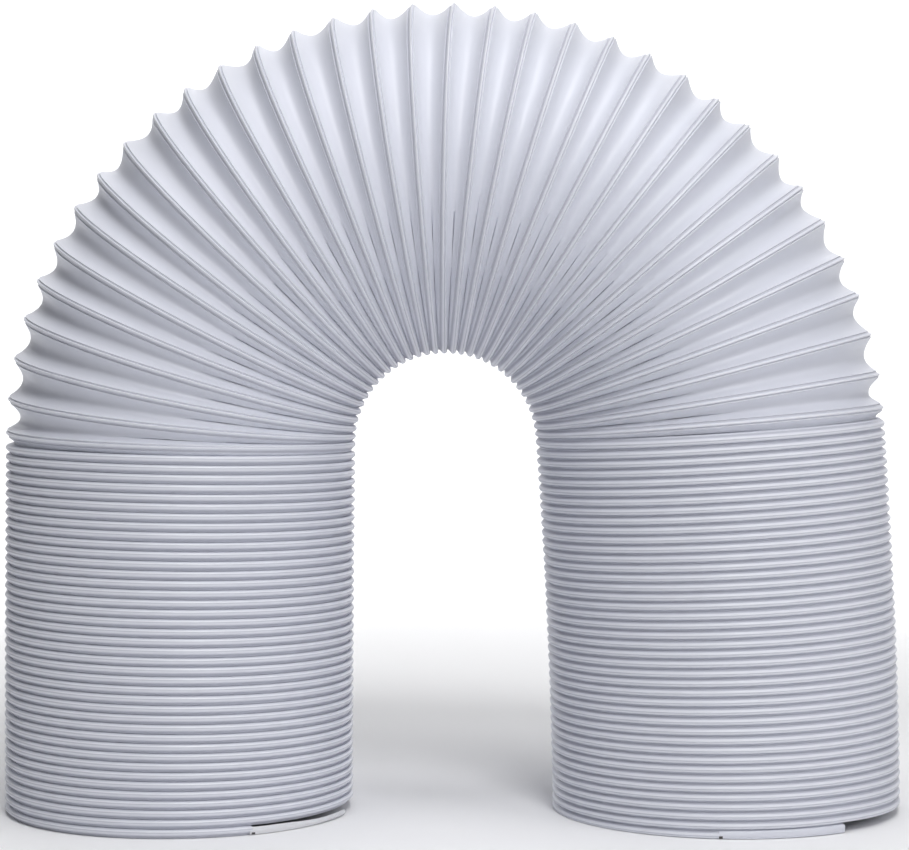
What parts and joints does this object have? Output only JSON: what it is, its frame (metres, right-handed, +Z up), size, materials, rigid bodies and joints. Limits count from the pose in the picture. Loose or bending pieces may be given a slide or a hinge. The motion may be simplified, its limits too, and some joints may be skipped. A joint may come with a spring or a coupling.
{
  "type": "air conditioner exhaust hose",
  "caption": "Flexible round exhaust duct of helical pleated plastic, standing bent like an arch with both legs pushed together.",
  "frame": {"origin": "on the floor, below the middle of the hose's box", "axes": "+Z up, +X from the left leg to the right leg as seen from the front, +Y to the back"},
  "size_m": [0.386, 0.15, 0.3461],
  "materials": {
    "white_polypropylene": "satin, slightly translucent"
  },
  "bodies": {
    "root": {"hose": "white_polypropylene"}
  },
  "joints": []
}
